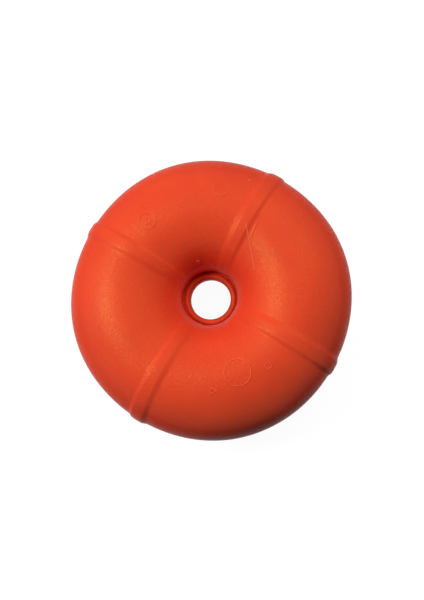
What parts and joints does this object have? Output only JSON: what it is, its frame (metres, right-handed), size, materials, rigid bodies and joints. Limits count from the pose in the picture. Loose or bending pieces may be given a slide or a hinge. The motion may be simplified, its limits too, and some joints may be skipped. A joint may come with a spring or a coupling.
{
  "type": "ring float",
  "caption": "Moulded ring float with raised bands round the tube, a narrow centre bore for a line, a vent plug and a screw plug at the back.",
  "frame": {"origin": "centre of the ring, on its axis and its mid-plane", "axes": "+Z along the ring's axis towards its front, +X and +Y through two of its bands"},
  "size_m": [0.3046, 0.3046, 0.1246],
  "materials": {
    "skin": "satin, finely grained",
    "foam": "closed-cell foam",
    "bush": "satin",
    "plug": "semi-gloss",
    "socket": "satin",
    "seal": "matt"
  },
  "bodies": {
    "ring": {"front_shell": "skin", "back_shell": "skin", "foam_core": "foam", "bore_bush": "bush", "vent_plug": "plug", "plug_socket": "socket"},
    "seal": {"plug_seal": "seal"},
    "plug": {"fill_plug": "plug"}
  },
  "joints": [
    {"name": "plug_lift", "type": "slide", "parent": "ring", "child": "seal", "axis": [-0.4478, 0.4478, -0.7739], "range_m": [0, 0.009]},
    {"name": "plug_turn", "type": "hinge", "parent": "seal", "child": "plug", "pos_m": [0.03677, -0.03677, -0.04643], "axis": [-0.4478, 0.4478, -0.7739], "range_deg": [0, 1080]}
  ],
  "couplings": [
    {"joint": "plug_turn", "follows": "plug_lift", "rad_per_m": 2094.4}
  ]
}
